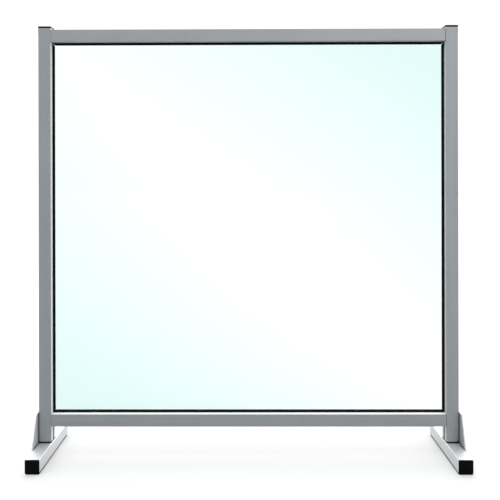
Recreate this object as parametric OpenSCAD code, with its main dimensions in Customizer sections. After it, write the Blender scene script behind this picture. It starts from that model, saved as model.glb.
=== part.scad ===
// Free-standing countertop sneeze guard: a clear sheet glazed into a frame of grooved
// aluminium profile, which stands on two rectangular-tube feet with gusset plates.
// The front faces -Y, the counter is z = 0, and x = 0 is the middle of the guard.
// Side parts are modelled on the +X side and mirrored for the left.

/* [Frame] */
// Width over the two posts
frame_w = 914; // [600:1:1500]
// Length of each post's profile
post_len = 902.5; // [600:0.5:1200]
// Clear height between the counter and the bottom rail
pass_gap = 65; // [60:1:200]
// How far the posts stand above the top rail
post_rise = 3.5; // [0:0.5:20]

/* [Profile] */
// Width of the profile, seen from the front of the guard
profile_w = 27; // [24:0.5:40]
// Depth of the profile, front to back
profile_d = 38; // [34:0.5:60]
// Wall of the profile
profile_wall = 1.6; // [1.2:0.1:2]
// Radius of the profile's outer edges
profile_r = 1; // [0.4:0.1:1.5]
// Width of the glazing groove
groove_w = 8; // [7:0.1:10]
// Depth of the glazing groove
groove_d = 10; // [8:0.5:11]
// Bore of the screw ports that run along the profile
port_bore_d = 3.6; // [3:0.1:4]
// Wall round a screw port
port_wall = 1.6; // [1.2:0.1:2]

/* [Glazing] */
// Thickness of the clear sheet
panel_t = 5; // [3:0.1:6]
// How far the sheet's edge goes past the profile's face
panel_bite = 6; // [3:0.5:7]
// Radius of the sheet's corners
panel_r = 3; // [1:0.5:10]
// How far the gasket stands proud of the profile's face
gasket_lip = 4.4; // [2:0.1:6]
// Play left by each gasket at the two top corners
gasket_gap = 1.2; // [0:0.1:2]
// Play between the gasket and the groove, and between the gasket and the sheet
gasket_play = 0.1; // [0.05:0.05:0.3]

/* [Foot] */
// Length of a foot over its end caps
foot_len = 250; // [200:1:500]
// Width of the foot tube
foot_w = 30; // [28:0.5:60]
// Height of the foot tube
foot_h = 28; // [25:0.5:60]
// Wall of the foot tube
foot_wall = 1.5; // [1.2:0.1:3]
// Radius of the foot tube's outer edges
foot_r = 2.5; // [0.5:0.1:3]
// Thickness of the non-slip strips under the feet
strip_t = 1.5; // [1:0.1:4]
// How far a strip's edges stay in from the foot's sides and ends
strip_inset = 0.5; // [0.2:0.1:4]

/* [Gusset] */
// Thickness of the gusset plate
gusset_t = 2.5; // [1.5:0.1:5]
// Height of the gusset plate above the foot
gusset_rise = 66; // [60:1:120]
// Width of the gusset plate along the foot
gusset_base = 126; // [100:1:180]
// Width of the gusset plate's upper edge
gusset_top = 64; // [40:1:90]
// Radius of the gusset plate's corners
gusset_r = 4; // [2:0.5:8]

/* [Caps] */
// Thickness of the caps' flanges on the posts' upper ends
cap_t = 3.6; // [2:0.1:6]
// How far a post cap stands past the profile
cap_overhang = 0.4; // [0:0.1:1]
// Thickness of the flange between post and foot
insert_t = 2.5; // [1.5:0.1:5]
// Length of the threaded insert's body in the post
insert_len = 24; // [20:1:26]
// Thickness of the foot end caps' flanges
foot_cap_t = 3; // [2:0.1:6]

/* [Fasteners] */
// Nominal diameter of the gusset screws
gusset_screw_d = 5; // [4:1:6]
// Nominal diameter of the bolt up through each foot
base_bolt_d = 6; // [5:1:8]
// Length of the base bolt under its head
base_bolt_len = 30; // [25:1:32]
// Length of the rail screws under the head
rail_screw_len = 25; // [16:1:40]

/* [Hidden] */
$fn = 48;

LEFT = -1;
RIGHT = 1;
FRONT = -1;
REAR = 1;
past = 1;              // how far a cutter runs past the face that it opens
fit_play = 0.2;        // clearance of a moulded plug in its tube
thread_play = 0.05;    // clearance of a screw in the metal that it is threaded into
hole_play = 0.25;      // clearance of a screw in a plain hole

// Heights
foot_top_z = strip_t + foot_h;
post_z = foot_top_z + insert_t;
post_top_z = post_z + post_len;
rail_low_z = pass_gap + profile_w;                     // upper, grooved face of the bottom rail
rail_high_z = post_top_z - post_rise - profile_w;      // lower, grooved face of the top rail

// Widths
post_face_x = frame_w / 2 - profile_w;                 // grooved face of a post
post_x = frame_w / 2 - profile_w / 2;
foot_out_x = post_x + foot_w / 2;                      // outer side of a foot
rail_len = 2 * post_face_x;

// Screw ports in the profile: u is the distance in from the grooved face, v the depth
port_bore_r = port_bore_d / 2;
port_r = port_bore_r + port_wall;
port_u = profile_w - profile_wall - port_bore_r - 0.6;
side_v0 = groove_w / 2 + profile_wall;                 // side chambers beside the groove
side_v1 = profile_d / 2 - profile_wall;
port_v = (side_v0 + side_v1) / 2;
chamber_u0 = groove_d + profile_wall;                  // main chamber behind the groove
chamber_u1 = profile_w - profile_wall;
chamber_u = (chamber_u0 + chamber_u1) / 2;

// Rail screws: pan heads inside the posts, reached through holes in the outer wall
rail_head_d = 8;
rail_head_t = 2.8;
rail_recess_w = 1;
rail_recess_l = 4.6;
rail_recess_depth = 1.6;
access_d = 9;
plug_flange_d = 11.5;
plug_flange_t = 1.2;
plug_depth = 4;
plug_wall = 1;

// Gusset screws and the plates that they are threaded into
gusset_screw_len = 10;
gusset_head_d = 1.9 * gusset_screw_d;
gusset_head_t = 0.55 * gusset_screw_d;
gusset_socket_d = 0.6 * gusset_screw_d;
gusset_socket_depth = 0.3 * gusset_screw_d;
spacer_d = 12;
spacer_t = foot_out_x - frame_w / 2;
nut_plate_t = 3;
nut_plate_w = 12.6;
nut_plate_margin = 5.5;
post_screw_z = [foot_top_z + 34.5, foot_top_z + 56.5];
foot_screw_y = [-38, 38];
foot_screw_z = strip_t + foot_h / 2;
foot_nut_plate_h = 18;
gusset_toe = 3;                                        // gusset's lower edge above the tube's underside

// Base bolt: up through the foot into the bush in the post's insert
bolt_x = post_face_x + chamber_u;
washer_d = 12;
washer_t = 1.6;
bolt_head_d = 1.75 * base_bolt_d;
bolt_head_t = 0.55 * base_bolt_d;
bolt_socket_d = 4.6;
bolt_socket_depth = 2;
bush_d = base_bolt_d + 3;
bush_len = 14;
foot_access_d = 14;
foot_plug_flange_d = 17;
wall_under_top_z = foot_top_z - foot_wall;

// Moulded plugs
fin_t = 1;
fin_pitch = 4;
fin_depth = 1.2;
cap_plug_len = 14;
cap_plug_d = 2 * (port_v - access_d / 2 - fit_play);   // between the holes for the rail screws
insert_plug_d = 2 * (side_v1 - fit_play);
foot_plug_len = 16;
foot_plug_hollow = 4;                                  // wall of the hollow foot plug

// Non-slip strips
strip_hole_d = foot_plug_flange_d + 1;

// ---- shared shapes ----

module sided(side) {
    if (side == LEFT) mirror([1, 0, 0]) children();
    else children();
}

module rounded_rect(w, d, r) {
    square([w - 2 * r, d], center = true);
    square([w, d - 2 * r], center = true);
    for (x = [-1, 1], y = [-1, 1])
        translate([x * (w / 2 - r), y * (d / 2 - r)]) circle(r);
}

// A hole or pin along X, from x towards +X
module bar_x(x, y, z, length, r) {
    translate([x, y, z]) rotate([0, 90, 0]) cylinder(h = length, r = r);
}

// Grooved profile in its own plane: u along X from the grooved face, v along Y
module profile_section() {
    difference() {
        union() {
            difference() {
                translate([profile_w / 2, 0]) rounded_rect(profile_w, profile_d, profile_r);
                translate([chamber_u0, -side_v1])
                    square([chamber_u1 - chamber_u0, 2 * side_v1]);
                for (s = [-1, 1])
                    translate([(profile_wall + chamber_u0) / 2 + past / 2, s * port_v])
                        square([chamber_u0 - profile_wall + past, side_v1 - side_v0], center = true);
            }
            for (s = [-1, 1]) translate([port_u, s * port_v]) circle(port_r);
        }
        translate([-past, -groove_w / 2]) square([groove_d + past, groove_w]);
        for (s = [-1, 1]) translate([port_u, s * port_v]) circle(port_bore_r);
    }
}

// Moulded plug with fins that grips inside the profile's main chamber; it stands on z = 0
module chamber_plug(length, d) {
    w = chamber_u1 - chamber_u0 - 2 * fit_play;
    difference() {
        union() {
            translate([chamber_u - w / 2 + fin_depth, -d / 2 + fin_depth, 0])
                cube([w - 2 * fin_depth, d - 2 * fin_depth, length]);
            for (z = [fin_pitch : fin_pitch : length - fin_t])
                translate([chamber_u - w / 2, -d / 2, z]) cube([w, d, fin_t]);
        }
        for (s = [-1, 1])
            translate([port_u, s * port_v, -past])
                cylinder(h = length + 2 * past, r = port_r + fit_play);
    }
}

// ---- frame ----

module post() {
    difference() {
        translate([post_face_x, 0, post_z]) linear_extrude(post_len) profile_section();
        for (z = [rail_low_z - port_u, rail_high_z + port_u], s = [-1, 1]) {
            bar_x(post_face_x - past, s * port_v, z, profile_wall + 2 * past, port_bore_r + hole_play);
            bar_x(post_face_x + chamber_u, s * port_v, z, profile_w, access_d / 2);
        }
        for (z = post_screw_z)
            bar_x(post_face_x + chamber_u, 0, z, profile_w, gusset_screw_d / 2 + hole_play);
    }
}

module bottom_rail() {
    translate([-post_face_x, 0, rail_low_z]) rotate([0, 90, 0])
        linear_extrude(rail_len) profile_section();
}

module top_rail() {
    translate([post_face_x, 0, rail_high_z]) rotate([0, -90, 0])
        linear_extrude(rail_len) profile_section();
}

// One pan-head screw that points inwards, its head on the inside of the post's wall
module rail_screw(y, z) {
    head_x = post_face_x + profile_wall;
    difference() {
        union() {
            bar_x(head_x - rail_screw_len, y, z, rail_screw_len, port_bore_r - thread_play);
            bar_x(head_x, y, z, rail_head_t, rail_head_d / 2);
        }
        for (turn = [0, 90])
            translate([head_x + rail_head_t, y, z]) rotate([turn, 0, 0])
                cube([2 * rail_recess_depth, rail_recess_w, rail_recess_l], center = true);
    }
}

module rail_screws(z) {
    for (side = [LEFT, RIGHT], s = [-1, 1]) sided(side) rail_screw(s * port_v, z);
}

// Snap-in plug that closes a round hole in a wall; its flange lies on z = 0 and faces +Z
module hole_plug(hole_d, flange_d) {
    difference() {
        union() {
            cylinder(h = plug_flange_t, d = flange_d);
            translate([0, 0, -plug_depth]) cylinder(h = plug_depth, d = hole_d - 2 * fit_play);
        }
        translate([0, 0, -plug_depth - past])
            cylinder(h = plug_depth + past, d = hole_d - 2 * fit_play - 2 * plug_wall);
    }
}

module post_hole_plugs() {
    for (s = [-1, 1])
        translate([frame_w / 2, s * port_v, rail_high_z + port_u]) rotate([0, 90, 0])
            hole_plug(access_d, plug_flange_d);
}

// ---- glazing ----

module clear_panel() {
    w = rail_len + 2 * panel_bite;
    h = rail_high_z - rail_low_z + 2 * panel_bite;
    translate([0, panel_t / 2, (rail_low_z + rail_high_z) / 2]) rotate([90, 0, 0])
        linear_extrude(panel_t) rounded_rect(w, h, panel_r);
}

// Takes off the part of a lip that the next strip's lip needs: a mitre through the corner
module mitre_cut(gap) {
    reach = gasket_lip + past;
    translate([0, groove_w, 0]) rotate([90, 0, 0]) linear_extrude(2 * groove_w)
        polygon([[gap + past, -past], [-reach, gap + reach], [-reach, -past]]);
}

// U-shaped strip along +Z, open towards -X, with its corner mitres at both ends
module gasket_strip(length, low_gap, high_gap) {
    web_w = groove_w - 2 * gasket_play;
    difference() {
        translate([-gasket_lip, -web_w / 2, 0]) cube([gasket_lip + groove_d, web_w, length]);
        translate([-gasket_lip - past, -panel_t / 2 - gasket_play / 2, -past])
            cube([gasket_lip + past + panel_bite, panel_t + gasket_play, length + 2 * past]);
        mask_lip() mitre_cut(low_gap);
        translate([0, 0, length]) mirror([0, 0, 1]) mask_lip() mitre_cut(high_gap);
    }
}

// Keeps a cutter on the lip's side of the profile's face
module mask_lip() {
    intersection() {
        children();
        translate([-2 * gasket_lip - past, -groove_w, -past])
            cube([2 * gasket_lip + past, 2 * groove_w, 4 * gasket_lip + 4 * past]);
    }
}

module side_gasket() {
    translate([post_face_x, 0, rail_low_z])
        gasket_strip(rail_high_z - rail_low_z, 0, gasket_gap);
}

module bottom_gasket() {
    translate([-post_face_x, 0, rail_low_z]) rotate([0, 90, 0]) gasket_strip(rail_len, 0, 0);
}

module top_gasket() {
    translate([post_face_x, 0, rail_high_z]) rotate([0, -90, 0])
        gasket_strip(rail_len, gasket_gap, gasket_gap);
}

// ---- caps and inserts of the posts ----

module post_flange(z, thickness, overhang) {
    translate([post_x, 0, z]) linear_extrude(thickness)
        rounded_rect(profile_w + 2 * overhang, profile_d + 2 * overhang, profile_r + overhang);
}

module post_cap() {
    post_flange(post_top_z, cap_t, cap_overhang);
    translate([post_face_x, 0, post_top_z]) mirror([0, 0, 1])
        chamber_plug(cap_plug_len, cap_plug_d);
}

module post_insert() {
    difference() {
        union() {
            post_flange(foot_top_z, insert_t, 0);
            translate([post_face_x, 0, post_z]) chamber_plug(insert_len, insert_plug_d);
        }
        translate([bolt_x, 0, foot_top_z - past])
            cylinder(h = insert_t + insert_len + 2 * past, r = base_bolt_d / 2 + hole_play);
        translate([bolt_x, 0, post_z + insert_len - bush_len])
            cylinder(h = bush_len + past, d = bush_d);
    }
}

module threaded_bush() {
    translate([bolt_x, 0, post_z + insert_len - bush_len]) difference() {
        cylinder(h = bush_len, d = bush_d);
        translate([0, 0, -past])
            cylinder(h = bush_len + 2 * past, r = base_bolt_d / 2 + thread_play);
    }
}

module base_washer() {
    translate([bolt_x, 0, wall_under_top_z - washer_t]) difference() {
        cylinder(h = washer_t, d = washer_d);
        translate([0, 0, -past]) cylinder(h = washer_t + 2 * past, r = base_bolt_d / 2 + hole_play);
    }
}

module base_bolt() {
    head_top_z = wall_under_top_z - washer_t;
    translate([bolt_x, 0, head_top_z]) difference() {
        union() {
            cylinder(h = base_bolt_len, d = base_bolt_d);
            translate([0, 0, -bolt_head_t]) cylinder(h = bolt_head_t, d = bolt_head_d);
        }
        translate([0, 0, -bolt_head_t - past])
            cylinder(h = bolt_socket_depth + past, d = bolt_socket_d, $fn = 6);
    }
}

// ---- feet ----

module foot_section() {
    rounded_rect(foot_w, foot_h, foot_r);
}

module foot_tube() {
    tube_len = foot_len - 2 * foot_cap_t;
    difference() {
        translate([post_x, tube_len / 2, strip_t + foot_h / 2]) rotate([90, 0, 0])
            linear_extrude(tube_len) difference() {
                foot_section();
                square([foot_w - 2 * foot_wall, foot_h - 2 * foot_wall], center = true);
            }
        translate([bolt_x, 0, strip_t + foot_h / 2])
            cylinder(h = foot_h, r = base_bolt_d / 2 + hole_play);
        translate([bolt_x, 0, strip_t - past]) cylinder(h = foot_h / 2, d = foot_access_d);
        for (y = foot_screw_y)
            bar_x(post_x, y, foot_screw_z, foot_w, gusset_screw_d / 2 + hole_play);
    }
}

// Moulded end cap: a flange as large as the tube and a finned, hollow plug inside it
module foot_cap(end) {
    w = foot_w - 2 * foot_wall - 2 * fit_play;
    h = foot_h - 2 * foot_wall - 2 * fit_play;
    turn = end == FRONT ? 180 : 0;
    translate([post_x, 0, strip_t + foot_h / 2]) rotate([0, 0, turn])
        translate([0, foot_len / 2 - foot_cap_t, 0]) rotate([90, 0, 0]) {
            translate([0, 0, -foot_cap_t]) linear_extrude(foot_cap_t) foot_section();
            difference() {
                union() {
                    translate([0, 0, foot_plug_len / 2])
                        cube([w - 2 * fin_depth, h - 2 * fin_depth, foot_plug_len], center = true);
                    for (z = [fin_pitch : fin_pitch : foot_plug_len - fin_t])
                        translate([0, 0, z + fin_t / 2]) cube([w, h, fin_t], center = true);
                }
                translate([0, 0, foot_plug_len / 2 + past])
                    cube([w - 2 * foot_plug_hollow, h - 2 * foot_plug_hollow, foot_plug_len + past],
                         center = true);
            }
        }
}

// Non-slip strip under the whole foot, with a hole round the access plug
module foot_strip() {
    linear_extrude(strip_t) difference() {
        translate([post_x, 0]) rounded_rect(foot_w - 2 * strip_inset, foot_len - 2 * strip_inset, foot_r);
        translate([bolt_x, 0]) circle(d = strip_hole_d);
    }
}

module foot_access_plug() {
    translate([bolt_x, 0, strip_t]) mirror([0, 0, 1]) hole_plug(foot_access_d, foot_plug_flange_d);
}

// ---- gusset ----

// Outline in the YZ plane: straight beside the foot, tapering beside the post
module gusset_outline() {
    low = strip_t + gusset_toe;
    high = foot_top_z + gusset_rise;
    r = gusset_r;
    half_base = gusset_base / 2;
    half_top = gusset_top / 2;
    lean = atan((half_base - half_top) / gusset_rise);    // the tapered edge, from upright
    crown = r * tan(45 - lean / 2);                        // corner tangent length at the top
    for (s = [-1, 1]) {
        translate([s * (half_base - r), low + r]) circle(r);
        translate([s * (half_top - crown), high - r]) circle(r);
    }
    polygon([
        [-half_base, low + r], [-half_base + r, low], [half_base - r, low], [half_base, low + r],
        [half_base, foot_top_z],
        [half_top - crown + r * cos(lean), high - r + r * sin(lean)], [half_top - crown, high],
        [-half_top + crown, high], [-half_top + crown - r * cos(lean), high - r + r * sin(lean)],
        [-half_base, foot_top_z]
    ]);
}

module gusset_plate() {
    difference() {
        translate([foot_out_x, 0, 0]) rotate([90, 0, 90]) linear_extrude(gusset_t) gusset_outline();
        for (z = post_screw_z)
            bar_x(foot_out_x - past, 0, z, gusset_t + 2 * past, gusset_screw_d / 2 + hole_play);
        for (y = foot_screw_y)
            bar_x(foot_out_x - past, y, foot_screw_z, gusset_t + 2 * past,
                  gusset_screw_d / 2 + hole_play);
    }
}

module gusset_spacers() {
    for (z = post_screw_z) difference() {
        bar_x(frame_w / 2, 0, z, spacer_t, spacer_d / 2);
        bar_x(frame_w / 2 - past, 0, z, spacer_t + 2 * past, gusset_screw_d / 2 + hole_play);
    }
}

// Button-head screw that points inwards, its head on the gusset plate
module gusset_screw(y, z) {
    head_x = foot_out_x + gusset_t;
    difference() {
        union() {
            bar_x(head_x - gusset_screw_len, y, z, gusset_screw_len, gusset_screw_d / 2);
            bar_x(head_x, y, z, gusset_head_t, gusset_head_d / 2);
        }
        translate([head_x + gusset_head_t - gusset_socket_depth, y, z]) rotate([0, 90, 0])
            cylinder(h = gusset_socket_depth + past, d = gusset_socket_d, $fn = 6);
    }
}

module gusset_screws() {
    for (z = post_screw_z) gusset_screw(0, z);
    for (y = foot_screw_y) gusset_screw(y, foot_screw_z);
}

module post_nut_plate() {
    low = post_screw_z[0] - nut_plate_margin;
    high = post_screw_z[1] + nut_plate_margin;
    difference() {
        translate([frame_w / 2 - profile_wall - nut_plate_t, -nut_plate_w / 2, low])
            cube([nut_plate_t, nut_plate_w, high - low]);
        for (z = post_screw_z)
            bar_x(post_face_x + chamber_u, 0, z, profile_w, gusset_screw_d / 2 + thread_play);
    }
}

module foot_nut_plate() {
    length = foot_screw_y[1] - foot_screw_y[0] + 2 * nut_plate_margin;
    difference() {
        translate([foot_out_x - foot_wall - nut_plate_t, -length / 2, foot_screw_z - foot_nut_plate_h / 2])
            cube([nut_plate_t, length, foot_nut_plate_h]);
        for (y = foot_screw_y)
            bar_x(post_x, y, foot_screw_z, foot_w, gusset_screw_d / 2 + thread_play);
    }
}

// ---- colours ----

module anodised() { color("#a3a8ab") children(); }
module bright_metal() { color("#d5d8da") children(); }
module clear_sheet() { color([0.84, 0.96, 0.97, 0.35]) children(); }
module black_rubber() { color("#161718") children(); }
module black_plastic() { color("#202122") children(); }
module zinc() { color("#b9bcc0") children(); }
module brass() { color("#c8a45a") children(); }

// ---- nodes ----

anodised() sided(LEFT) post();  // left_post
anodised() sided(RIGHT) post();  // right_post
anodised() top_rail();
anodised() bottom_rail();
clear_sheet() clear_panel();
black_rubber() sided(LEFT) side_gasket();  // left_gasket
black_rubber() sided(RIGHT) side_gasket();  // right_gasket
black_rubber() top_gasket();
black_rubber() bottom_gasket();
black_plastic() sided(LEFT) post_cap();  // left_post_cap
black_plastic() sided(RIGHT) post_cap();  // right_post_cap
black_plastic() sided(LEFT) post_insert();  // left_post_insert
black_plastic() sided(RIGHT) post_insert();  // right_post_insert
brass() sided(LEFT) threaded_bush();  // left_threaded_bush
brass() sided(RIGHT) threaded_bush();  // right_threaded_bush
zinc() sided(LEFT) base_bolt();  // left_base_bolt
zinc() sided(RIGHT) base_bolt();  // right_base_bolt
zinc() sided(LEFT) base_washer();  // left_base_washer
zinc() sided(RIGHT) base_washer();  // right_base_washer
bright_metal() sided(LEFT) foot_tube();  // left_foot_tube
bright_metal() sided(RIGHT) foot_tube();  // right_foot_tube
black_plastic() sided(LEFT) foot_cap(FRONT);  // left_foot_front_cap
black_plastic() sided(RIGHT) foot_cap(FRONT);  // right_foot_front_cap
black_plastic() sided(LEFT) foot_cap(REAR);  // left_foot_rear_cap
black_plastic() sided(RIGHT) foot_cap(REAR);  // right_foot_rear_cap
black_rubber() sided(LEFT) foot_strip();  // left_foot_strip
black_rubber() sided(RIGHT) foot_strip();  // right_foot_strip
black_plastic() sided(LEFT) foot_access_plug();  // left_foot_access_plug
black_plastic() sided(RIGHT) foot_access_plug();  // right_foot_access_plug
bright_metal() sided(LEFT) gusset_plate();  // left_gusset_plate
bright_metal() sided(RIGHT) gusset_plate();  // right_gusset_plate
black_plastic() sided(LEFT) gusset_spacers();  // left_gusset_spacers
black_plastic() sided(RIGHT) gusset_spacers();  // right_gusset_spacers
zinc() sided(LEFT) gusset_screws();  // left_gusset_screws
zinc() sided(RIGHT) gusset_screws();  // right_gusset_screws
zinc() sided(LEFT) post_nut_plate();  // left_post_nut_plate
zinc() sided(RIGHT) post_nut_plate();  // right_post_nut_plate
zinc() sided(LEFT) foot_nut_plate();  // left_foot_nut_plate
zinc() sided(RIGHT) foot_nut_plate();  // right_foot_nut_plate
zinc() rail_screws(rail_high_z + port_u);  // top_rail_screws
zinc() rail_screws(rail_low_z - port_u);  // bottom_rail_screws
black_plastic() sided(LEFT) post_hole_plugs();  // left_post_hole_plugs
black_plastic() sided(RIGHT) post_hole_plugs();  // right_post_hole_plugs
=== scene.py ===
import math

import bpy
import numpy as np
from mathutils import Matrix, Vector
from mathutils.geometry import tessellate_polygon


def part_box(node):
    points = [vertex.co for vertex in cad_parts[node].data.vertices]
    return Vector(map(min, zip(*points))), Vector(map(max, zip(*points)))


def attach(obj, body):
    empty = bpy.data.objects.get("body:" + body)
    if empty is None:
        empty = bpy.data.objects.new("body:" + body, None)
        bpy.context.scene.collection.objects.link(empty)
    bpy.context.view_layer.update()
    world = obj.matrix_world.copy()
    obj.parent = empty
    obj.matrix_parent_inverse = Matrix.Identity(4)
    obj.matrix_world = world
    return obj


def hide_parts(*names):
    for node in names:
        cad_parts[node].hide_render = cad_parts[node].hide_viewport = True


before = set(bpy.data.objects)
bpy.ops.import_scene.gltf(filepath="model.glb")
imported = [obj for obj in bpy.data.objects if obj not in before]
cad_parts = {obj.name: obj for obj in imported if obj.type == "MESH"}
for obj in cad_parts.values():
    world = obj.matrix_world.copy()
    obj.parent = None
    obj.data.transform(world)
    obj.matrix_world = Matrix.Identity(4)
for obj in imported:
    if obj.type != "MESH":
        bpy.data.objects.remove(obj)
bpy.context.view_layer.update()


# ---- Posts ----
# Two lengths of grooved aluminium profile, hollow, sawn square at both ends. The press leaves faint
# die lines along them; the surface is etched matt and clear anodised. Lengths are in metres.

mm = 0.001
X, Y, Z = np.eye(3)


def linear(colour):
    """An sRGB hex colour as linear RGBA: c / 12.92 up to 0.04045, else ((c + 0.055) / 1.055) ** 2.4."""
    c = np.array([int(colour[i:i + 2], 16) for i in (1, 3, 5)]) / 255
    return (*np.where(c <= 0.04045, c / 12.92, ((c + 0.055) / 1.055) ** 2.4), 1.0)


def add(tree, kind, inputs, **settings):
    """A shader node with its settings. inputs maps a socket to its value or to the socket that feeds it."""
    made = tree.nodes.new(kind)
    for name, value in settings.items():
        setattr(made, name, value)
    for socket, value in inputs.items():
        if isinstance(value, bpy.types.NodeSocket):
            tree.links.new(value, made.inputs[socket])
        else:
            made.inputs[socket].default_value = value
    return made


def new_material(name):
    """An empty node material, its output node, and the Object coordinates in metres."""
    material = bpy.data.materials.new(name)
    material.use_nodes = True
    tree = material.node_tree
    tree.nodes.clear()
    output = add(tree, "ShaderNodeOutputMaterial", {})
    return material, tree, output, add(tree, "ShaderNodeTexCoord", {}).outputs["Object"]


def speckle(tree, coords, size, detail=2.0):
    """Noise with grains of the given (x, y, z) sizes in metres."""
    per_metre = tuple(1 / np.array(size))
    place = add(tree, "ShaderNodeMapping", {"Vector": coords, "Scale": per_metre}).outputs[0]
    return add(tree, "ShaderNodeTexNoise", {"Vector": place, "Scale": 1.0, "Detail": detail}).outputs[0]


def mean(tree, a, b):
    """The mean of two noises."""
    total = add(tree, "ShaderNodeMath", {0: a, 1: b}, operation="ADD").outputs[0]
    return add(tree, "ShaderNodeMath", {0: total, 1: 0.5}, operation="MULTIPLY").outputs[0]


def spread(tree, noise, low, high):
    """A noise, which stays near 0.5, stretched over low to high."""
    sockets = {"Value": noise, "From Min": 0.3, "From Max": 0.7, "To Min": low, "To Max": high}
    return add(tree, "ShaderNodeMapRange", sockets).outputs[0]


def blend(tree, share, first, second):
    """A share of the way from one colour to another, each an sRGB hex colour or a socket."""
    first, second = (linear(c) if isinstance(c, str) else c for c in (first, second))
    return add(tree, "ShaderNodeMix", {0: share, 6: first, 7: second}, data_type="RGBA").outputs[2]


def anodised_aluminium(name, dark, light, roughness, along, line, band, painted_light_zone=(0, 1, 2, 0)):
    """Clear anodised aluminium. Etching leaves a fine grain with a pale bloom where it is seen flat, and
    drawing leaves lines and bands of tone along one axis. Both are drawn coarser than they are, so that
    they show. Painted shade darkens slits and corners, found by ambient occlusion. Painted light makes
    faces pale and matt where the light falls on them: the last argument gives the axis, how far from
    zero that starts and is full, and how much of it there is. By default there is none."""
    material, tree, output, coords = new_material(name)
    drawn = [1.0 if axis == along else 0.0 for axis in range(3)]
    lines = speckle(tree, coords, [0.3 if d else line for d in drawn])
    bands = speckle(tree, coords, [0.5 if d else band for d in drawn])
    etch = speckle(tree, coords, [0.5 * mm] * 3)
    cloud = speckle(tree, coords, [90 * mm] * 3)
    tone = blend(tree, spread(tree, mean(tree, bands, cloud), 0.0, 1.0), dark, light)
    grain = mean(tree, lines, etch)
    # Painted shade: where ambient occlusion finds slits and corners within 8 mm, the colour goes to near
    # black.
    openness = add(tree, "ShaderNodeAmbientOcclusion", {"Distance": 8 * mm}, samples=8).outputs["AO"]
    clear_of_painted_shade = add(tree, "ShaderNodeMapRange", {"Value": openness, "From Min": 0.3, "From Max": 0.85}).outputs[0]
    # Painted light: within the given band the film turns pale, matt and no longer metallic.
    axis, start, full, most = painted_light_zone
    place = add(tree, "ShaderNodeSeparateXYZ", {0: coords}).outputs[axis]
    away = add(tree, "ShaderNodeMath", {0: place}, operation="ABSOLUTE").outputs[0]
    painted_light_share = add(tree, "ShaderNodeMapRange", {
        "Value": away, "From Min": start, "From Max": full, "To Max": most,
    }).outputs[0]
    bump = add(tree, "ShaderNodeBump", {"Strength": 0.3, "Distance": 0.006 * mm, "Height": grain})
    surface = add(tree, "ShaderNodeBsdfPrincipled", {
        "Base Color": blend(tree, painted_light_share, blend(tree, clear_of_painted_shade, "#070708", tone), "#f4f5f5"),
        "Metallic": add(tree, "ShaderNodeMath", {0: 1.0, 1: painted_light_share}, operation="SUBTRACT").outputs[0],
        "Roughness": spread(tree, grain, roughness - 0.04, roughness + 0.04),
        "Sheen Weight": 0.5,
        "Sheen Roughness": 0.4,
        "Normal": bump.outputs[0],
    })
    tree.links.new(surface.outputs[0], output.inputs[0])
    return material


def rounded_outline(width, depth, radius, steps=6):
    """A rectangle with round corners, anticlockwise: each corner's centre plus the radius times
    (cos, sin) of an angle that turns a quarter."""
    angle = np.linspace(0, np.pi / 2, steps + 1) + np.pi / 2 * np.arange(4)[:, None]
    centre = np.array([[1, 1], [-1, 1], [-1, -1], [1, -1]]) * (width / 2 - radius, depth / 2 - radius)
    return (centre[:, None] + radius * np.stack([np.cos(angle), np.sin(angle)], -1)).reshape(-1, 2)


def circle(centre, radius, steps=32):
    """Points round a circle, anticlockwise."""
    angle = 2 * np.pi * np.arange(steps) / steps
    return np.array(centre) + radius * np.column_stack([np.cos(angle), np.sin(angle)])


def carried(outline, stations):
    """Rings of an outline carried along the third axis. Station (h, s) is at height h with every side
    moved out by s: each point moves by its two sides' normals over one plus the cosine between them."""
    side = np.roll(outline, -1, 0) - outline
    normal = np.column_stack([side[:, 1], -side[:, 0]]) / np.linalg.norm(side, axis=1)[:, None]
    before = np.roll(normal, 1, 0)
    grow = (normal + before) / (1 + (normal * before).sum(1))[:, None]
    height, step = np.array(stations, float).T[:, :, None, None]
    flat = outline + step * grow
    return np.concatenate([flat, np.broadcast_to(height, (*flat.shape[:2], 1))], -1)


def skin(rings, ends="flat"):
    """Points and faces of a stack of rings, anticlockwise seen from the last. Its ends are flat, open,
    or joined to each other, as on a tube that runs up outside and down inside."""
    count, around = rings.shape[:2]
    low = np.arange(count if ends == "joined" else count - 1)[:, None] * around
    here = np.arange(around)
    there = np.roll(here, -1)
    high = (low + around) % (count * around)
    faces = np.stack([low + here, low + there, high + there, high + here], -1).reshape(-1, 4).tolist()
    if ends == "flat":
        faces += [here[::-1].tolist(), (here + (count - 1) * around).tolist()]
    return rings.reshape(-1, 3), faces


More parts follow.
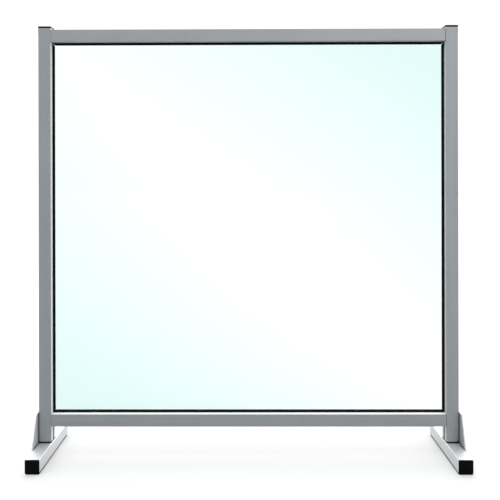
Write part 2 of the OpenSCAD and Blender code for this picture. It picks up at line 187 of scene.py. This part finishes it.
def hollow_bar(outline, holes, length, ease):
    """A bar of an outline with holes through it, the outline's two end edges eased. The end faces are
    the outline's triangles left by the holes."""
    walls = [skin(carried(outline, [(0, -ease), (ease, 0), (length - ease, 0), (length, -ease)]), "open")]
    for hole in holes:
        points, faces = skin(carried(hole, [(0, 0), (length, 0)]), "open")
        walls.append((points, [f[::-1] for f in faces]))
    loops = [points[:len(points) // rings] for (points, _), rings in zip(walls, [4] + [2] * len(holes))]
    flat = np.concatenate(loops)
    cuts = tessellate_polygon([[Vector(p) for p in loop] for loop in loops])
    (ax, ay), (bx, by), (cx, cy) = (flat[[t[i] for t in cuts], :2].T for i in range(3))
    turned_up = (bx - ax) * (cy - ay) - (by - ay) * (cx - ax) > 0
    up = [t if right else t[::-1] for t, right in zip(cuts, turned_up)]
    starts = np.cumsum([0] + [len(p) for p, _ in walls])
    low = np.concatenate([s + np.arange(len(loop)) for s, loop in zip(starts, loops)])
    high = np.concatenate([e - len(loop) + np.arange(len(loop)) for e, loop in zip(starts[1:], loops)])
    faces = [[i + s for i in f] for (_, fs), s in zip(walls, starts) for f in fs]
    faces += [low[list(t)][::-1].tolist() for t in up] + [high[list(t)].tolist() for t in up]
    return np.concatenate([p for p, _ in walls]), faces


def placed(part, origin, x, y, z):
    """A part moved to origin, with its own axes along x, y and z."""
    return part[0] @ np.array([x, y, z]) + np.array(origin), part[1]


def on_side(part, side):
    """A part of the +X side as it is, or mirrored with its faces turned back for the left."""
    if side == "right":
        return part
    return part[0] * (-1, 1, 1), [f[::-1] for f in part[1]]


def make_piece(name, parts, material, slot, *nodes):
    """One mesh of the closed parts, shaded smooth up to 35 degrees, that stands for CAD nodes."""
    starts = np.cumsum([0] + [len(p) for p, _ in parts])
    faces = [[int(i + s) for i in f] for (_, fs), s in zip(parts, starts) for f in fs]
    mesh = bpy.data.meshes.new(name)
    mesh.from_pydata(np.concatenate([p for p, _ in parts]).tolist(), [], faces)
    mesh.materials.append(material)
    mesh.shade_smooth()
    mesh.set_sharp_from_angle(angle=math.radians(35))
    made = bpy.data.objects.new(name, mesh)
    bpy.context.scene.collection.objects.link(made)
    even = made.modifiers.new("even_shading", "WEIGHTED_NORMAL")
    even.keep_sharp = True
    even.weight = 100
    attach(made, "root")
    if nodes:
        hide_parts(*nodes)
    return made


def drill(made, cutters):
    """Cuts closed parts out of a piece and keeps the result as its mesh."""
    starts = np.cumsum([0] + [len(p) for p, _ in cutters])
    mesh = bpy.data.meshes.new("drill")
    faces = [[int(i + s) for i in f] for (_, fs), s in zip(cutters, starts) for f in fs]
    mesh.from_pydata(np.concatenate([p for p, _ in cutters]).tolist(), [], faces)
    tool = bpy.data.objects.new("drill", mesh)
    bpy.context.scene.collection.objects.link(tool)
    cut = made.modifiers.new("holes", "BOOLEAN")
    cut.object = tool
    cut.solver = "EXACT"
    with bpy.context.temp_override(object=made, active_object=made):
        bpy.ops.object.modifier_move_to_index(modifier="holes", index=0)
        bpy.ops.object.modifier_apply(modifier="holes")
    bpy.data.objects.remove(tool)


wall = 1.6 * mm
groove_half = 4 * mm
groove_depth = 10 * mm
lip_ease = 0.4 * mm
port = 1.8 * mm
port_boss = 3.4 * mm
sawn_ease = 0.25 * mm

low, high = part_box("right_post")
profile_w, profile_d, post_length = high - low
post_face = low.x
chamber_low = groove_depth + wall
chamber_high = profile_w - wall
chamber_middle = (chamber_low + chamber_high) / 2
arm_low = groove_half + wall
arm_high = profile_d / 2 - wall
port_u = chamber_high - port - 0.6 * mm
port_v = (arm_low + arm_high) / 2


def profile_outline():
    """The profile's outside, anticlockwise from the groove's side at u = 0: three sides of a rounded
    rectangle, then the groove with eased lips."""
    box = rounded_outline(profile_w, profile_d, 1 * mm) + (profile_w / 2, 0)
    corners = len(box) // 4
    groove = [
        (0, groove_half + lip_ease), (lip_ease, groove_half),
        (groove_depth, groove_half), (groove_depth, -groove_half),
        (lip_ease, -groove_half), (0, -groove_half - lip_ease),
    ]
    return np.concatenate([box[:2 * corners], groove, box[2 * corners:]])


def profile_holes():
    """The chamber round the groove, which keeps clear of two round screw ports, and the two ports."""
    reach = math.acos((chamber_high - port_u) / port_boss)
    arc = np.linspace(-reach, reach - 2 * np.pi, 20)
    boss = port_boss * np.column_stack([np.cos(arc), np.sin(arc)]) + (port_u, 0)
    chamber = np.concatenate([
        [(wall, -arm_high), (chamber_high, -arm_high)], boss + (0, -port_v), boss + (0, port_v),
        [(chamber_high, arm_high), (wall, arm_high), (wall, arm_low), (chamber_low, arm_low),
         (chamber_low, -arm_low), (wall, -arm_low)],
    ])
    return [chamber, circle((port_u, -port_v), port, 24), circle((port_u, port_v), port, 24)]


def across(x0, x1, y, z, radius):
    """A closed cylinder along X, for cutting a hole."""
    return placed(skin(carried(circle((0, 0), radius), [(0, 0), (x1 - x0, 0)])), (x0, y, z), -Z, Y, X)


rail_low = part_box("bottom_rail")[1].z
rail_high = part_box("top_rail")[0].z
foot_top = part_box("right_foot_tube")[1].z
rail_screw_rise = (rail_low - port_u, rail_high + port_u)
plug_hole = 4.5 * mm
post_screw_rise = (foot_top + 34.5 * mm, foot_top + 56.5 * mm)
gusset_hole = 2.75 * mm

# The faces beside the groove get painted light: all of it on the left post, half of it on the right.
for side, rub_wear_and_painted_light in (("left", 1.0), ("right", 0.5)):
    post_metal = anodised_aluminium(f"clear_anodised_{side}_post", "#9a9fa2", "#a1a6a9", 0.48, 2, 0.8 * mm,
                                    7 * mm, (0, post_face + 0.2 * mm, post_face + 0.1 * mm, rub_wear_and_painted_light))
    bar = placed(hollow_bar(profile_outline(), profile_holes(), post_length, sawn_ease), low, X, Y, Z)
    bar = bar[0] + (0, profile_d / 2, 0), bar[1]
    post = make_piece(f"{side}_post_profile", [on_side(bar, side)], post_metal, "anodised_profile",
                      f"{side}_post")
    middle, outside = post_face + chamber_middle, post_face + 2 * profile_w
    holes = [across(middle, outside, v, z, plug_hole) for z in rail_screw_rise for v in (-port_v, port_v)]
    holes += [across(middle, outside, 0, z, gusset_hole) for z in post_screw_rise]
    holes += [across(post_face - wall, post_face + wall + lip_ease, v, z, port + 0.25 * mm)
              for z in rail_screw_rise for v in (-port_v, port_v)]
    drill(post, [on_side(hole, side) for hole in holes])


# ---- Rails ----
# The same profile, sawn to fit between the posts with its groove towards the sheet. Screws through
# the posts' inner walls cut into the ports at its ends.

rail_length = 2 * post_face
# The bottom rail's upper face gets painted light; the top rail gets none.
rail_metal = anodised_aluminium("clear_anodised_bottom_rail", "#9da1a4", "#a5a8ab", 0.48, 0, 0.8 * mm,
                                7 * mm, (2, rail_low - 0.2 * mm, rail_low - 0.1 * mm, 1.0))
bar = hollow_bar(profile_outline(), profile_holes(), rail_length, 0.8 * mm)
make_piece("bottom_rail_profile", [placed(bar, (-post_face, 0, rail_low), -Z, Y, X)], rail_metal,
           "anodised_profile", "bottom_rail")
rail_metal = anodised_aluminium("clear_anodised_top_rail", "#9da1a4", "#a5a8ab", 0.48, 0, 0.8 * mm, 7 * mm)
make_piece("top_rail_profile", [placed(bar, (post_face, 0, rail_high), Z, Y, -X)], rail_metal,
           "anodised_profile", "top_rail")


# ---- Clear sheet ----
# Cast acrylic, 5 mm thick, its edges sawn, eased and polished. It mirrors a little more the flatter
# it is seen, and holds a faint cyan, with a painted reflection that washes it out along one diagonal.

low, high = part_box("clear_panel")
sheet_w, sheet_t, sheet_h = high - low
sheet_ease = 0.5 * mm
outline = rounded_outline(sheet_w, sheet_h, 3 * mm)
stations = [(0, -sheet_ease), (sheet_ease, 0), (sheet_t - sheet_ease, 0), (sheet_t, -sheet_ease)]

# The tint grows with the distance from one diagonal, along which a painted reflection leaves the sheet white:
# abs(x / width + z / height - the middle's value).
acrylic, tree, output, coords = new_material("cast_acrylic_clear")
corner_to_corner = add(tree, "ShaderNodeVectorMath", {
    0: coords, 1: (1 / sheet_w, 0, 1 / sheet_h),
}, operation="DOT_PRODUCT").outputs["Value"]
from_diagonal = add(tree, "ShaderNodeMath", {
    0: corner_to_corner, 1: (low.z + high.z) / 2 / sheet_h,
}, operation="SUBTRACT").outputs[0]
off_diagonal = add(tree, "ShaderNodeMath", {0: from_diagonal}, operation="ABSOLUTE").outputs[0]
tint_beside_painted_reflection = add(tree, "ShaderNodeMapRange", {
    "Value": off_diagonal, "From Min": 0.0, "From Max": 0.88, "To Min": 0.25, "To Max": 1.0,
}).outputs[0]
facing = add(tree, "ShaderNodeLayerWeight", {"Blend": 0.5}).outputs["Facing"]
grazing = add(tree, "ShaderNodeMath", {0: facing, 1: 5.0}, operation="POWER").outputs[0]
mirrored_share = add(tree, "ShaderNodeMath", {0: grazing, 1: 0.96, 2: 0.04},
                     operation="MULTIPLY_ADD").outputs[0]
clear = add(tree, "ShaderNodeBsdfTransparent", {"Color": blend(tree, tint_beside_painted_reflection, "#ffffff", "#eaf6f5")})
polish = add(tree, "ShaderNodeBsdfAnisotropic", {"Color": (1, 1, 1, 1), "Roughness": 0.03})
surface = add(tree, "ShaderNodeMixShader", {0: mirrored_share, 1: clear.outputs[0], 2: polish.outputs[0]})
tree.links.new(surface.outputs[0], output.inputs[0])

sheet = placed(skin(carried(outline, stations)), (0, high.y, (low.z + high.z) / 2), X, Z, -Y)
make_piece("clear_sheet", [sheet], acrylic, "clear_acrylic", "clear_panel")


# ---- Glazing gaskets ----
# Extruded black rubber, U-shaped round the sheet's edge, pressed into the grooves. The lips have
# round tips and are mitred at the corners, where the top one is cut a little short.

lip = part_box("bottom_gasket")[1].z - rail_low
gasket_half = 3.9 * mm
slot_half = 2.55 * mm
slot_depth = 6 * mm
lip_round = 0.6 * mm
corner_gap = 1.2 * mm
step = 0.02 * mm


def black_rubber(name, colour, worn, grain):
    """Carbon-filled rubber: almost black and dull, a little greyer where it has been rubbed."""
    material, tree, output, coords = new_material(name)
    fine = speckle(tree, coords, [grain] * 3)
    rub_wear_and_painted_light = speckle(tree, coords, [30 * mm] * 3, 3.0)
    bump = add(tree, "ShaderNodeBump", {"Strength": 0.4, "Distance": 0.03 * mm, "Height": fine})
    surface = add(tree, "ShaderNodeBsdfPrincipled", {
        "Base Color": blend(tree, spread(tree, mean(tree, rub_wear_and_painted_light, fine), 0.0, 1.0), colour, worn),
        "Roughness": spread(tree, fine, 0.55, 0.75),
        "Specular IOR Level": 0.06,
        "IOR": 1.52,
        "Normal": bump.outputs[0],
    })
    tree.links.new(surface.outputs[0], output.inputs[0])
    return material


def gasket(length, low_gap, high_gap):
    """The U carried along the third axis, open towards -u. Its ends are flat in the groove, and on the
    lips they slope back by as much as the lip is proud."""
    turn = np.linspace(0, np.pi / 2, 5)
    tip = np.column_stack([-np.sin(turn), np.cos(turn)]) * lip_round
    upper = np.concatenate([
        [(groove_depth, gasket_half), (step, gasket_half), (0, gasket_half)],
        tip + (lip_round - lip, gasket_half - lip_round),
        (tip * (1, -1))[::-1] * 0.5 + (lip_round / 2 - lip, slot_half + lip_round / 2),
        [(0, slot_half), (step, slot_half), (slot_depth, slot_half)],
    ])
    outline = np.concatenate([upper, (upper * (1, -1))[::-1]])
    proud = -outline[:, 0]
    start = np.where(proud >= 0, proud + low_gap, 0)
    end = length - np.where(proud >= 0, proud + high_gap, 0)
    rings = np.array([np.column_stack([outline, start]), np.column_stack([outline, end])])
    points, faces = skin(rings, "open")
    k, n = len(upper), len(outline)
    web = [0, 1, k - 2, k - 1, k, k + 1, n - 2, n - 1]
    lips = [[1, 2, k - 3, k - 2], list(range(2, k - 2))]
    lips += [[n - 1 - i for i in reversed(group)] for group in lips]
    for group in [web] + lips:
        faces += [group[::-1], [i + n for i in group]]
    return points, faces


gasket_rubber = black_rubber("extruded_gasket_rubber", "#040404", "#0e0f10", 0.4 * mm)
opening = rail_high - rail_low
side_strip = placed(gasket(opening, 0, corner_gap), (post_face, 0, rail_low), X, Y, Z)
for side in ("left", "right"):
    make_piece(f"{side}_glazing_gasket", [on_side(side_strip, side)], gasket_rubber, "glazing_rubber",
               f"{side}_gasket")
make_piece("bottom_glazing_gasket",
           [placed(gasket(rail_length, 0, 0), (-post_face, 0, rail_low), -Z, Y, X)],
           gasket_rubber, "glazing_rubber", "bottom_gasket")
make_piece("top_glazing_gasket",
           [placed(gasket(rail_length, corner_gap, corner_gap), (post_face, 0, rail_high), Z, Y, -X)],
           gasket_rubber, "glazing_rubber", "top_gasket")


# ---- Post caps and inserts ----
# Black nylon mouldings. Each cap has a soft-edged flange over the profile and a finned plug in its
# chamber; of the insert between post and foot only the flange's edge shows.


def black_nylon(name):
    """Moulded glass-filled nylon: black, with a fine spark-eroded grain and a soft sheen."""
    material, tree, output, coords = new_material(name)
    grain = speckle(tree, coords, [0.45 * mm] * 3)
    flow = speckle(tree, coords, [14 * mm] * 3, 3.0)
    bump = add(tree, "ShaderNodeBump", {"Strength": 0.5, "Distance": 0.03 * mm, "Height": grain})
    surface = add(tree, "ShaderNodeBsdfPrincipled", {
        "Base Color": blend(tree, spread(tree, mean(tree, grain, flow), 0.0, 1.0), "#020202", "#060606"),
        "Roughness": spread(tree, grain, 0.38, 0.52),
        "Specular IOR Level": 0.06,
        "IOR": 1.53,
        "Normal": bump.outputs[0],
    })
    tree.links.new(surface.outputs[0], output.inputs[0])
    return material


def stacked(stations, ends="flat"):
    """Rounded rectangles (height, width, depth, radius) one over the other, joined into a skin."""
    rings = [np.insert(rounded_outline(w, d, r), 2, h, axis=1) for h, w, d, r in stations]
    return skin(np.array(rings), ends)


def soft_edge(top, width, depth, radius, drop):
    """Three stations that round the edge of a flange's face over its last drop of height."""
    turn = np.radians([0, 35, 65, 90])
    inset, rise = drop * (1 - np.cos(turn)), drop * np.sin(turn)
    return [(top - drop + h, width - 2 * s, depth - 2 * s, radius + s / 2) for s, h in zip(inset, rise)]


def finned(width, depth, core, length, fin, pitch):
    """Stations down from the flange along a plug whose core is inset, with a thin fin at each pitch."""
    small, full = (width - 2 * core, depth - 2 * core), (width, depth)
    down = [(0, *small)]
    for h in np.arange(pitch, length - fin + 1e-9, pitch):
        down += [(-h, *small), (-h, *full), (-h - fin, *full), (-h - fin, *small)]
    return [(h, w, d, 0.4 * mm) for h, w, d in down + [(-length, *small)]]


def coat(node, material):
    """Gives a CAD node that stays as it is a material."""
    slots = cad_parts[node].data.materials
    slots.clear()
    slots.append(material)


nylon = black_nylon("moulded_black_nylon")
cap_low, cap_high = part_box("right_post_cap")
post_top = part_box("right_post")[1].z
cap_w, cap_d, cap_t = cap_high.x - cap_low.x, cap_high.y - cap_low.y, cap_high.z - post_top
plug_w = chamber_high - chamber_low - 0.4 * mm
plug_d = 2 * (port_v - plug_hole - 0.2 * mm)
plug = stacked(finned(plug_w, plug_d, 1.2 * mm, 14 * mm, 1 * mm, 4 * mm)[::-1])
flange = stacked([(0, cap_w, cap_d, 1.4 * mm)] + soft_edge(cap_t, cap_w, cap_d, 1.4 * mm, 0.25 * mm))
for side in ("left", "right"):
    parts = [placed(flange, ((cap_low.x + cap_high.x) / 2, 0, post_top), X, Y, Z),
             placed(plug, (post_face + chamber_middle, 0, post_top), X, Y, Z)]
    make_piece(f"{side}_post_end_cap", [on_side(p, side) for p in parts], nylon, "black_nylon",
               f"{side}_post_cap")
    coat(f"{side}_post_insert", nylon)


# ---- Feet ----
# Rectangular aluminium tube, cut square, with a plug pushed in at each end. A hole in the top takes
# the bolt up into the post, and a wider one below it lets the key in.

foot_metal = anodised_aluminium("bright_anodised_foot", "#dee0e1", "#e8e9ea", 0.56, 1, 0.8 * mm, 5 * mm)
tube_low, tube_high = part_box("right_foot_tube")
foot_w, tube_length, foot_h = tube_high - tube_low
foot_x, foot_z = (tube_low.x + tube_high.x) / 2, (tube_low.z + tube_high.z) / 2
foot_wall = 1.5 * mm
foot_radius = 2.5 * mm
bolt_x = post_face + chamber_middle
access_hole = 7 * mm
bolt_hole = 3.25 * mm
foot_screw_y = 38 * mm

outline = rounded_outline(foot_w, foot_h, foot_radius)
bore = rounded_outline(foot_w - 2 * foot_wall, foot_h - 2 * foot_wall, 0.3 * mm)
outside = carried(outline, [(0, -sawn_ease), (sawn_ease, 0), (tube_length - sawn_ease, 0),
                            (tube_length, -sawn_ease)])
tube = skin(np.concatenate([outside, carried(bore, [(tube_length, 0), (0, 0)])]), "joined")


def upright(z0, z1, radius):
    """A closed cylinder along Z on the base bolt's axis, for cutting a hole."""
    return placed(skin(carried(circle((0, 0), radius), [(0, 0), (z1 - z0, 0)])), (bolt_x, 0, z0), X, Y, Z)


for side in ("left", "right"):
    parts = [placed(tube, (foot_x, tube_high.y, foot_z), X, Z, -Y)]
    foot = make_piece(f"{side}_foot", [on_side(p, side) for p in parts], foot_metal, "anodised_foot",
                      f"{side}_foot_tube")
    holes = [upright(tube_low.z - foot_wall, foot_z, access_hole),
             upright(foot_z, tube_high.z + foot_wall, bolt_hole)]
    holes += [across(foot_x, foot_x + foot_w, y, foot_z, gusset_hole) for y in (-foot_screw_y, foot_screw_y)]
    drill(foot, [on_side(hole, side) for hole in holes])


# ---- Foot end caps ----
# Black nylon plugs with a flange as large as the tube. The flange's face is slightly crowned and its
# edge soft; behind it a hollow, finned plug grips the tube.

cap_low, cap_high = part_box("right_foot_rear_cap")
foot_cap_t = cap_high.y - tube_high.y
crown = 0.5 * mm
inner_w, inner_h = foot_w - 2 * foot_wall - 0.4 * mm, foot_h - 2 * foot_wall - 0.4 * mm
hollow_w, hollow_h = inner_w - 8 * mm, inner_h - 8 * mm
plug_length = 16 * mm
end_cap = stacked(
    [(-0.5 * mm, hollow_w, hollow_h, 0.4 * mm), (-plug_length, hollow_w, hollow_h, 0.4 * mm)]
    + finned(inner_w, inner_h, 1.2 * mm, plug_length, 1 * mm, 4 * mm)[::-1]
    + [(0, foot_w, foot_h, foot_radius)]
    + soft_edge(foot_cap_t - crown, foot_w, foot_h, foot_radius, 1 * mm)
    + [(foot_cap_t - crown * s * s, 0.9 * foot_w * s, 0.9 * foot_h * s, 2 * mm * s) for s in (0.8, 0.5, 0.2)])
for side in ("left", "right"):
    for end, y, out in (("front", tube_low.y, -Y), ("rear", tube_high.y, Y)):
        part = placed(end_cap, (foot_x, y, foot_z), np.cross(Z, out), Z, out)
        make_piece(f"{side}_foot_{end}_end_cap", [on_side(part, side)], nylon, "black_nylon",
                   f"{side}_foot_{end}_cap")


# ---- Non-slip strips ----
# A strip of black rubber stuck under each foot, nearly as wide as the tube, with pressed edges and a
# hole round the plug in the middle.

strip_rubber = black_rubber("pressed_strip_rubber", "#0b0c0c", "#1b1c1d", 0.7 * mm)
low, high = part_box("right_foot_strip")
strip_w, strip_l, strip_t = high - low
strip_hole = 9 * mm
strip = hollow_bar(rounded_outline(strip_w, strip_l, foot_radius),
                   [circle((bolt_x - foot_x, 0), strip_hole)], strip_t, 0.2 * mm)
for side in ("left", "right"):
    part = placed(strip, (foot_x, 0, 0), X, Y, Z)
    make_piece(f"{side}_foot_grip", [on_side(part, side)], strip_rubber, "strip_rubber",
               f"{side}_foot_strip")


# ---- Hole plugs ----
# Snap-in nylon plugs: a low domed head over the hole and a thin hollow stem inside it. One closes
# each key hole under the feet, and two close the screw holes in each post's outer wall.


def turned(stations, steps=48):
    """Rings round the third axis: station (height, radius) is a circle. With a third number it is a
    polygon of that many sides at that distance: r / cos(angle within a side from its middle)."""
    angle = 2 * np.pi * np.arange(steps) / steps
    rings = []
    for height, radius, *sides in stations:
        within = np.mod(angle, 2 * np.pi / sides[0]) - np.pi / sides[0] if sides else 0 * angle
        r = radius / np.cos(within)
        rings.append(np.column_stack([r * np.cos(angle), r * np.sin(angle), np.full(steps, height)]))
    return skin(np.array(rings))


def hole_plug(hole, head, thick, stem):
    """A plug whose head lies on height 0 and faces up."""
    outer, inner = hole - 0.2 * mm, hole - 1.2 * mm
    return turned([(0, inner), (-stem, inner), (-stem, outer - 0.2 * mm), (-stem + 0.4 * mm, outer),
                   (0, outer), (0, head), (thick * 0.35, head), (thick * 0.7, head * 0.94),
                   (thick * 0.92, head * 0.8), (thick, head * 0.5)])


plug_head, plug_thick, plug_stem = 5.75 * mm, 1.2 * mm, 4 * mm
key_plug = placed(hole_plug(access_hole, 8.5 * mm, plug_thick, plug_stem), (bolt_x, 0, tube_low.z), X, -Y, -Z)
side_plug = hole_plug(plug_hole, plug_head, plug_thick, plug_stem)
post_outside = post_face + profile_w
for side in ("left", "right"):
    make_piece(f"{side}_key_hole_plug", [on_side(key_plug, side)], nylon, "black_nylon",
               f"{side}_foot_access_plug")
    parts = [placed(side_plug, (post_outside, v, rail_screw_rise[1]), -Z, Y, X) for v in (-port_v, port_v)]
    make_piece(f"{side}_screw_hole_plugs", [on_side(p, side) for p in parts], nylon, "black_nylon",
               f"{side}_post_hole_plugs")


# ---- Gusset plates ----
# Punched from 2.5 mm aluminium sheet, linished up and down and then anodised, which leaves upright
# streaks. Each lies on its foot's outer side and on spacers against its post.

plate_low, plate_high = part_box("right_gusset_plate")
plate_t, plate_base, _ = plate_high - plate_low
plate_top = 64 * mm
plate_corner = 4 * mm


def gusset_outline():
    """Upright sides beside the foot, then tapered sides to a narrower top; each corner but the two at
    the foot's upper face is an arc between its sides' normals."""
    rise = plate_high.z - foot_top
    lean = math.atan2((plate_base - plate_top) / 2, rise)
    crown_x = plate_top / 2 - plate_corner * math.tan(math.pi / 4 - lean / 2)
    top_turn = np.linspace(lean, np.pi / 2, 7)
    low_turn = np.linspace(-np.pi / 2, 0, 7)
    right = np.concatenate([
        np.column_stack([np.cos(low_turn), np.sin(low_turn)]) * plate_corner
        + (plate_base / 2 - plate_corner, plate_low.z + plate_corner),
        [(plate_base / 2, foot_top)],
        np.column_stack([np.cos(top_turn), np.sin(top_turn)]) * plate_corner
        + (crown_x, plate_high.z - plate_corner),
    ])
    return np.concatenate([right, (right * (-1, 1))[::-1]])


plate_metal = anodised_aluminium("linished_anodised_plate", "#acafb2", "#fbfbfc", 0.5, 2, 3 * mm, 14 * mm)
screw_places = [(0, z) for z in post_screw_rise] + [(-foot_screw_y, foot_z), (foot_screw_y, foot_z)]
plate = hollow_bar(gusset_outline(), [circle(p, gusset_hole, 24) for p in screw_places], plate_t, 0.3 * mm)
for side in ("left", "right"):
    make_piece(f"{side}_gusset", [on_side(placed(plate, (plate_low.x, 0, 0), Y, Z, X), side)], plate_metal,
               "anodised_plate", f"{side}_gusset_plate")


# ---- Gusset spacers and screws ----
# Nylon rings keep the plate level with the foot's side. Zinc-plated button-head screws with hexagon
# sockets go through the plate into nut plates inside the post and the foot.


def zinc_plated_steel(name):
    """Bright zinc on steel: bluish silver, finely scratched by tumbling, with faint cloudy patches."""
    material, tree, output, coords = new_material(name)
    scratch = speckle(tree, coords, [0.3 * mm] * 3, 4.0)
    cloud = speckle(tree, coords, [5 * mm] * 3)
    bump = add(tree, "ShaderNodeBump", {"Strength": 0.2, "Distance": 0.01 * mm, "Height": scratch})
    surface = add(tree, "ShaderNodeBsdfPrincipled", {
        "Base Color": blend(tree, spread(tree, mean(tree, scratch, cloud), 0.0, 1.0), "#9fa4aa", "#c3c8ce"),
        "Metallic": 1.0,
        "Roughness": spread(tree, scratch, 0.2, 0.34),
        "Normal": bump.outputs[0],
    })
    tree.links.new(surface.outputs[0], output.inputs[0])
    return material


zinc = zinc_plated_steel("zinc_plated_steel")
spacer_t = plate_low.x - post_outside
spacer = skin(np.concatenate([
    carried(circle((0, 0), 6 * mm), [(0, 0), (spacer_t, 0)]),
    carried(circle((0, 0), gusset_hole), [(spacer_t, 0), (0, 0)]),
]), "joined")
shank, head_r, head_h = 2.5 * mm, 4.75 * mm, 2.75 * mm
socket, socket_depth, shank_length = 1.5 * mm, 1.5 * mm, 10 * mm
dome = [(0.25 * head_h + 0.75 * head_h * math.sin(a), head_r * (0.45 + 0.55 * math.cos(a)))
        for a in np.radians([0, 20, 40, 60, 75, 90])]
button_screw = turned([(-shank_length, shank - 0.6 * mm), (-shank_length + 0.6 * mm, shank), (0, shank),
                       (0, head_r - 0.2 * mm)] + dome
                      + [(head_h, socket * 1.12), (head_h - 0.15 * mm, socket, 6),
                         (head_h - socket_depth, socket, 6)])
for side in ("left", "right"):
    parts = [placed(spacer, (post_outside, 0, z), -Z, Y, X) for z in post_screw_rise]
    make_piece(f"{side}_spacer_rings", [on_side(p, side) for p in parts], nylon, "black_nylon",
               f"{side}_gusset_spacers")
    parts = [placed(button_screw, (plate_high.x, y, z), -Z, Y, X) for y, z in screw_places]
    make_piece(f"{side}_button_screws", [on_side(p, side) for p in parts], zinc, "zinc_plated_steel",
               f"{side}_gusset_screws")


# ---- Hidden fasteners ----
# Inside the posts and feet: zinc-plated bolts, washers, nut plates and rail screws, and turned brass
# bushes in the inserts. Their CAD solids stay as they are.

# Cutting on a lathe leaves fine rings, which break the yellow gloss into bands.
brass, tree, output, coords = new_material("turned_brass")
rings = speckle(tree, coords, [3 * mm, 3 * mm, 0.3 * mm])
surface = add(tree, "ShaderNodeBsdfPrincipled", {
    "Base Color": blend(tree, spread(tree, rings, 0.0, 1.0), "#b08d4c", "#d2b26a"),
    "Metallic": 1.0,
    "Roughness": spread(tree, rings, 0.2, 0.35),
})
tree.links.new(surface.outputs[0], output.inputs[0])
for side in ("left", "right"):
    coat(f"{side}_threaded_bush", brass)
    for name in ("base_bolt", "base_washer", "post_nut_plate", "foot_nut_plate"):
        coat(f"{side}_{name}", zinc)
for name in ("top_rail_screws", "bottom_rail_screws"):
    coat(name, zinc)


# ---- Studio ----
# A pale matt floor that runs to the horizon, an even white surround that is brightest low behind the
# guard, and a wide soft light from high at the front left.

floor_half = 40.0
floor_mesh = bpy.data.meshes.new("studio_floor")
floor_mesh.from_pydata([(-floor_half, -floor_half, 0), (floor_half, -floor_half, 0),
                        (floor_half, floor_half, 0), (-floor_half, floor_half, 0)], [], [(0, 1, 2, 3)])
floor = bpy.data.objects.new("studio_floor", floor_mesh)
bpy.context.scene.collection.objects.link(floor)
# Rolled matt paint, with faint broad clouds. Reflections see it darker, which keeps the metal grey.
paint, tree, output, coords = new_material("pale_matt_floor")
seen = add(tree, "ShaderNodeLightPath", {}).outputs["Is Camera Ray"]
paper = blend(tree, spread(tree, speckle(tree, coords, [2.0] * 3), 0.0, 1.0), "#e7e7e7", "#e9e9e9")
shade = add(tree, "ShaderNodeMix", {0: seen, 6: linear("#bcbcbc"), 7: paper}, data_type="RGBA").outputs[2]
surface = add(tree, "ShaderNodeBsdfDiffuse", {"Color": shade})
tree.links.new(surface.outputs[0], output.inputs[0])
floor_mesh.materials.append(paint)

world = bpy.data.worlds.new("studio_surround")
bpy.context.scene.world = world
world.use_nodes = True
tree = world.node_tree
tree.nodes.clear()
direction = add(tree, "ShaderNodeTexCoord", {}).outputs["Generated"]
# Each light adds strength * (cosine from its direction) ** power to an even level. The camera itself
# sees white, which eases off upwards.
level = 0.62
for strength, power, towards in (
    (0.6, 2.0, (0.0, 1.0, 0.0)),
    (0.8, 3.0, (0.0, 0.0, 1.0)),
    (1.5, 14.0, (0.35, -0.82, 0.45)),
    (2.2, 10.0, (0.0, 0.85, 0.53)),
    (1.5, 8.0, (0.62, 0.78, 0.1)),
    (0.6, 8.0, (-0.62, 0.78, 0.1)),
):
    lobe = add(tree, "ShaderNodeVectorMath", {0: direction, 1: towards}, operation="DOT_PRODUCT")
    lobe = add(tree, "ShaderNodeMath", {0: lobe.outputs["Value"], 1: 0.0}, operation="MAXIMUM").outputs[0]
    lobe = add(tree, "ShaderNodeMath", {0: lobe, 1: power}, operation="POWER").outputs[0]
    level = add(tree, "ShaderNodeMath", {0: lobe, 1: strength, 2: level}, operation="MULTIPLY_ADD").outputs[0]
surround = add(tree, "ShaderNodeBackground", {"Color": (1, 1, 1, 1), "Strength": level})
rise = add(tree, "ShaderNodeSeparateXYZ", {0: direction}).outputs["Z"]
fade = add(tree, "ShaderNodeMapRange", {
    "Value": rise, "From Min": 0.0, "From Max": 0.2, "To Min": 1.18, "To Max": 1.12,
}).outputs[0]
backdrop = add(tree, "ShaderNodeBackground", {"Color": (1, 1, 1, 1), "Strength": fade})
seen = add(tree, "ShaderNodeLightPath", {}).outputs["Is Camera Ray"]
mixed = add(tree, "ShaderNodeMixShader", {0: seen, 1: surround.outputs[0], 2: backdrop.outputs[0]})
add(tree, "ShaderNodeOutputWorld", {0: mixed.outputs[0]})

lamp_data = bpy.data.lights.new("soft_lamp", "SUN")
lamp_data.angle = math.radians(40)
lamp_data.energy = 0.5
lamp = bpy.data.objects.new("soft_lamp", lamp_data)
bpy.context.scene.collection.objects.link(lamp)
lamp.rotation_euler = Vector((-0.62, -0.35, 0.7)).to_track_quat("Z", "Y").to_euler()

view = bpy.context.scene.view_settings
view.view_transform = "Standard"
view.look = "None"


# ---- Camera ----
# Square on to the guard from 1.7 m, a little above its middle, with the frame shifted down so that
# the posts stay upright.

camera_data = bpy.data.cameras.new("camera")
camera_data.sensor_width = 36
camera_data.lens = 56.23
camera_data.shift_x = 0.0146
camera_data.shift_y = -0.1381
camera = bpy.data.objects.new("camera", camera_data)
bpy.context.scene.collection.objects.link(camera)
camera.location = (0, -1.719, 0.6)
camera.rotation_euler = (math.radians(90), math.radians(0.12), math.radians(0.39))
bpy.context.scene.camera = camera
